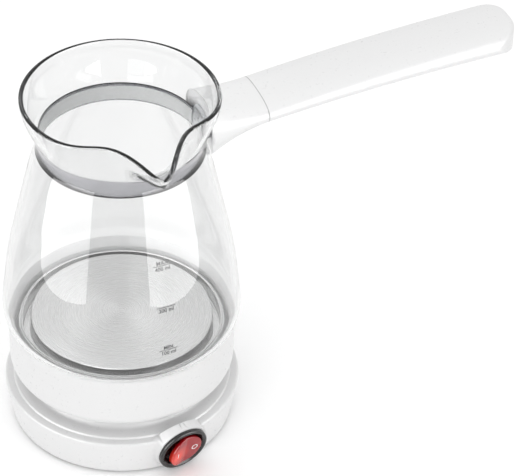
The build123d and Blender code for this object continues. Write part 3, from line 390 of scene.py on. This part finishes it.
# ------------------------------------------------------------------ pan and seal
# The pan is stainless, turned on a lathe, so fine rings run round it and its shine fans out
# from the middle. A soft translucent silicone ring seals it to the glass.
STEEL_TONE = (0.76, 0.76, 0.76, 1)
RING_SCALE = 2600.0
RING_DETAIL = 2.0
RING_STRENGTH = 0.04
pan_metal, pan_tree, pan_shader = node_material("turned_steel")
pan_shader.inputs["Base Color"].default_value = STEEL_TONE
pan_shader.inputs["Metallic"].default_value = 1.0
pan_shader.inputs["Anisotropic"].default_value = 0.75
pan_place = pan_tree.nodes.new("ShaderNodeTexCoord")
pan_across = pan_tree.nodes.new("ShaderNodeVectorMath")
pan_across.operation = "MULTIPLY"
pan_across.inputs[1].default_value = (1, 1, 0)
pan_radius = pan_tree.nodes.new("ShaderNodeVectorMath")
pan_radius.operation = "LENGTH"
pan_rings = pan_tree.nodes.new("ShaderNodeTexNoise")
pan_rings.noise_dimensions = "1D"
pan_rings.inputs["Scale"].default_value = RING_SCALE
pan_rings.inputs["Detail"].default_value = RING_DETAIL
pan_bump = pan_tree.nodes.new("ShaderNodeBump")
pan_bump.inputs["Strength"].default_value = RING_STRENGTH
pan_bump.inputs["Distance"].default_value = BUMP_DEPTH
pan_along = pan_tree.nodes.new("ShaderNodeVectorMath")
pan_along.operation = "CROSS_PRODUCT"
pan_along.inputs[0].default_value = (0, 0, 1)
pan_to_room = pan_tree.nodes.new("ShaderNodeVectorTransform")
pan_to_room.vector_type = "VECTOR"
pan_to_room.convert_from = "OBJECT"
pan_to_room.convert_to = "WORLD"
pan_tree.links.new(pan_place.outputs["Object"], pan_across.inputs[0])
pan_tree.links.new(pan_across.outputs["Vector"], pan_radius.inputs[0])
pan_tree.links.new(pan_radius.outputs["Value"], pan_rings.inputs["W"])
pan_tree.links.new(pan_rings.outputs["Fac"], pan_bump.inputs["Height"])
pan_tree.links.new(pan_bump.outputs["Normal"], pan_shader.inputs["Normal"])
pan_tree.links.new(pan_across.outputs["Vector"], pan_along.inputs[1])
pan_tree.links.new(pan_along.outputs["Vector"], pan_to_room.inputs["Vector"])
pan_tree.links.new(pan_to_room.outputs["Vector"], pan_shader.inputs["Tangent"])
roughness_from(pan_tree, pan_shader, pan_rings, 0.24, 0.30)
smooth_skin("steel_pan", pan_metal, "pot")
SILICONE_TONES = ((0.74, 0.75, 0.75), (0.80, 0.81, 0.81))
silicone = finish(
    "seal_silicone", SILICONE_TONES, (0.35, 0.5), 800.0, 0.15, Transmission_Weight=0.25
)
smooth_skin("pan_seal", silicone, "pot")

# ------------------------------------------------------------------ glass vessel
# Blown borosilicate glass, 2 mm thick, with a flared rim. The spout was pressed into the hot
# rim, which drew it in on both sides, and the rim's edge was then rounded in the flame. Clear
# glass lets the light through to the pan, so it throws no shadow.
GLASS_WALL = 0.002
GLASS_FOOT = 0.0448
GLASS_ROWS = 84
GLASS_STEPS = 240
FLAME_ROUNDING = 0.0009
GLASS_TONE = (0.885, 0.888, 0.888)
GLASS_EDGE_TONE = (0.985, 0.988, 0.988)
RIM_TOP = 0.1709
NECK_TOP = 0.150
SPOUT_LOW = 0.1524
SPOUT_HIGH = 0.1644
NECK_RADIUS = 0.0344
RIM_RADIUS = 0.0411
SPOUT_REACH = 0.0117
SPOUT_HALF_TURN = 10.9
PINCH_DEPTH = 0.0043
PINCH_TURN = 30.0
PINCH_SPREAD = 17.0
DIP_START = 0.034
DIP_RADIUS = 0.0276
GLASS_OUTLINE = (
    (0.0479, GLASS_FOOT),
    (0.0479, 0.0528),
    (0.0500, 0.0561),
    (0.0511, 0.0600),
    (0.0505, 0.0673),
    (0.0478, 0.0890),
    (0.0432, 0.1108),
    (0.0383, 0.1325),
    (0.0362, 0.1395),
    (0.0347, 0.1442),
    (NECK_RADIUS, 0.1480),
    (NECK_RADIUS, NECK_TOP),
)


def glass_radius(height):
    """Outside radius of the round part of the glass: a smooth curve through its outline."""
    if height >= NECK_TOP:
        share = min(1.0, (height - NECK_TOP) / (RIM_TOP - NECK_TOP))
        return NECK_RADIUS + (RIM_RADIUS - NECK_RADIUS) * math.sin(math.pi / 2 * share**1.25)
    points = GLASS_OUTLINE
    i = max(k for k in range(len(points) - 1) if points[k][1] <= height + 1e-9)

    def slope(k):
        low, high = points[max(0, k - 1)], points[min(len(points) - 1, k + 1)]
        return (high[0] - low[0]) / (high[1] - low[1])

    (r0, z0), (r1, z1) = points[i], points[i + 1]
    step = z1 - z0
    t = (height - z0) / step
    return (
        r0 * (1 + 2 * t) * (1 - t) ** 2
        + slope(i) * step * t * (1 - t) ** 2
        + r1 * t * t * (3 - 2 * t)
        + slope(i + 1) * step * t * t * (t - 1)
    )


def spout_push(turn, height):
    """How far the pressed spout moves the glass out (+) or in (-)."""
    share = max(0.0, min(1.0, (height - SPOUT_LOW) / (SPOUT_HIGH - SPOUT_LOW)))
    off = abs(turn)
    beak = SPOUT_REACH * math.exp(-((off / SPOUT_HALF_TURN) ** 1.5))
    pinch = PINCH_DEPTH * math.exp(-(((off - PINCH_TURN) / PINCH_SPREAD) ** 2))
    return (beak - pinch) * share * share * (3 - 2 * share)


def rim_height(y):
    """Height of the rim, which dips along an arc towards the spout's tip."""
    beyond = max(0.0, -y - DIP_START)
    return RIM_TOP - DIP_RADIUS + math.sqrt(max(0.0, DIP_RADIUS**2 - beyond**2))


glass_shape = bmesh.new()
row = (RIM_TOP - GLASS_FOOT) / GLASS_ROWS
heights = [GLASS_FOOT + row * i for i in range(GLASS_ROWS + 1)]
line = [glass_shape.verts.new((0, -glass_radius(z), z)) for z in heights]
edges = [glass_shape.edges.new(pair) for pair in zip(line, line[1:])]
bmesh.ops.spin(
    glass_shape,
    geom=line + edges,
    axis=(0, 0, 1),
    cent=(0, 0, 0),
    angle=2 * math.pi,
    steps=GLASS_STEPS,
    use_merge=True,
)
bmesh.ops.remove_doubles(glass_shape, verts=glass_shape.verts[:], dist=1e-6)
for vert in glass_shape.verts:
    if vert.co.z < SPOUT_LOW:
        continue
    turn = math.degrees(math.atan2(vert.co.x, -vert.co.y))
    radius = math.hypot(vert.co.x, vert.co.y)
    share = (radius + spout_push(turn, vert.co.z)) / radius
    vert.co.x *= share
    vert.co.y *= share
    full = (vert.co.z - SPOUT_LOW) / (RIM_TOP - SPOUT_LOW)
    vert.co.z -= (RIM_TOP - rim_height(vert.co.y)) * full
bmesh.ops.recalc_face_normals(glass_shape, faces=glass_shape.faces[:])
bmesh.ops.solidify(glass_shape, geom=glass_shape.faces[:], thickness=-GLASS_WALL)
bmesh.ops.reverse_faces(glass_shape, faces=glass_shape.faces[:])

glass, glass_tree, glass_shader = node_material("blown_glass")
glass_shader.inputs["Transmission Weight"].default_value = 1.0
glass_shader.inputs["Roughness"].default_value = 0.0
glass_shader.inputs["IOR"].default_value = 1.5
glass_edge = glass_tree.nodes.new("ShaderNodeLayerWeight")
glass_edge.inputs["Blend"].default_value = 0.35
glass_tint = glass_tree.nodes.new("ShaderNodeValToRGB")
glass_tint.color_ramp.elements[0].position = 0.4
glass_tint.color_ramp.elements[0].color = (*GLASS_TONE, 1)
glass_tint.color_ramp.elements[1].position = 1.0
glass_tint.color_ramp.elements[1].color = (*GLASS_EDGE_TONE, 1)
glass_tree.links.new(glass_edge.outputs["Facing"], glass_tint.inputs["Fac"])
glass_tree.links.new(glass_tint.outputs["Color"], glass_shader.inputs["Base Color"])
vessel = mesh_piece("glass_vessel", glass_shape, glass, sharp_above=60.0)
rounded = vessel.modifiers.new("fire_polish", "BEVEL")
rounded.width = FLAME_ROUNDING
rounded.segments = 3
rounded.profile = 0.5
rounded.affect = "EDGES"
rounded.material = -1
rounded.limit_method = "ANGLE"
rounded.angle_limit = math.radians(50)
vessel.visible_shadow = False
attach(vessel, "pot")
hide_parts("glass_body")

# ------------------------------------------------------------------ volume marks
# Fill marks are printed on the glass in grey ceramic ink, right of the spout: the least, the
# most and the level between, each with its fine line, and fired on, so they follow the curve.
MARK_TURN = math.radians(3.6)
MARK_WIDTH = 0.0085
MARK_LETTER = 0.0025
MARK_LINE = 0.00030
MARK_WEIGHT = 0.00005
MARK_DEPTH = 0.00003
MARK_CLEARANCE = 0.00008
MARK_GAP = 0.0009
ABOVE_LINE = MARK_GAP * 0.5
BELOW_LINE = -MARK_GAP * 0.6 - MARK_LETTER * 0.7
INK_TONES = ((0.02,) * 3, (0.03,) * 3)
MARKS = (
    ("most", 0.1106, "MAX", "400 ml"),
    ("middle", 0.0911, "", "200 ml"),
    ("least", 0.0696, "MIN", "100 ml"),
)
ink = finish("mark_ink", INK_TONES, (0.5, 0.6), 2500.0, 0.1)


def letters(text, low):
    """The shape of one line of lettering, centred, with its foot at a height on the flat."""
    curve = bpy.data.curves.new("letters", "FONT")
    curve.body = text
    curve.size = MARK_LETTER
    curve.align_x = "CENTER"
    curve.resolution_u = 3
    curve.extrude = MARK_DEPTH
    curve.offset = MARK_WEIGHT
    holder = bpy.data.objects.new("letters", curve)
    mesh = bpy.data.meshes.new_from_object(holder)
    bpy.data.objects.remove(holder)
    shape = bmesh.new()
    shape.from_mesh(mesh)
    bpy.data.meshes.remove(mesh)
    bmesh.ops.translate(shape, verts=shape.verts[:], vec=(0, low, 0))
    return shape


def add_shape(target, source):
    """Adds one bmesh to another."""
    mesh = bpy.data.meshes.new("part")
    source.to_mesh(mesh)
    source.free()
    target.from_mesh(mesh)
    bpy.data.meshes.remove(mesh)


for name, level, above_line, below_line in MARKS:
    mark = bmesh.new()
    bmesh.ops.create_grid(mark, x_segments=16, y_segments=1, size=0.5)
    bmesh.ops.scale(mark, verts=mark.verts[:], vec=(MARK_WIDTH, MARK_LINE, 1))
    bmesh.ops.solidify(mark, geom=mark.faces[:], thickness=MARK_DEPTH)
    if above_line:
        add_shape(mark, letters(above_line, ABOVE_LINE))
    add_shape(mark, letters(below_line, BELOW_LINE))
    for vert in mark.verts:
        height = level + vert.co.y
        radius = glass_radius(height) + MARK_DEPTH + MARK_CLEARANCE + vert.co.z
        turn = MARK_TURN + vert.co.x / radius
        vert.co = Vector((radius * math.sin(turn), -radius * math.cos(turn), height))
    bmesh.ops.recalc_face_normals(mark, faces=mark.faces[:])
    piece = mesh_piece("volume_mark_" + name, mark, ink)
    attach(piece, "pot")

# ------------------------------------------------------------------ neck band
# A strip of polished stainless round the glass's neck, over a clear silicone liner, with its
# two ears drawn together in the bracket by a screw and a nut.
BAND_TONES = ((0.40, 0.40, 0.42), (0.46, 0.46, 0.48))
band_metal = finish("polished_band", BAND_TONES, (0.08, 0.13), 60.0, 0.03, metal=1.0)
smooth_skin("neck_band", band_metal, "pot")
smooth_skin("neck_liner", silicone, "pot")
for node in ("clamp_screw", "clamp_nut"):
    smooth_skin(node, zinc, "pot")

# ------------------------------------------------------------------ handle
# Bracket and grip are white mouldings that meet in a fine joint, whose shadow is painted as a
# thin grey strip laid on the grip. A steel strap inside ties them to the band's lug, and
# cross-head screws hold them from below.
for node in ("handle_bracket", "handle_grip"):
    smooth_skin(node, white, "pot")
for node in ("handle_tang", "handle_screws"):
    smooth_skin(node, zinc, "pot")

# Painted shadow of the joint: a thin grey strip cut from the grip's surface between two planes
# and set just proud of it.
JOINT_START = 0.06232
JOINT_END = 0.0626
JOINT_PROUD = 0.00003
JOINT_SHADOW_TONES = ((0.30,) * 3, (0.36,) * 3)
joint_shade = finish("joint_shade", JOINT_SHADOW_TONES, (0.6, 0.7), 1200.0, 0.1)
joint = bmesh.new()
joint.from_mesh(nodes["handle_grip"].data)
bmesh.ops.remove_doubles(joint, verts=joint.verts[:], dist=WELD)
for end, side in ((JOINT_START, -1), (JOINT_END, 1)):
    bmesh.ops.bisect_plane(
        joint,
        geom=joint.verts[:] + joint.edges[:] + joint.faces[:],
        plane_co=(end, 0, 0),
        plane_no=(side, 0, 0),
        clear_outer=True,
    )
joint.normal_update()
for vert in joint.verts:
    vert.co += vert.normal * JOINT_PROUD
painted_joint_shadow = mesh_piece("handle_joint_shadow", joint, joint_shade)
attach(painted_joint_shadow, "pot")
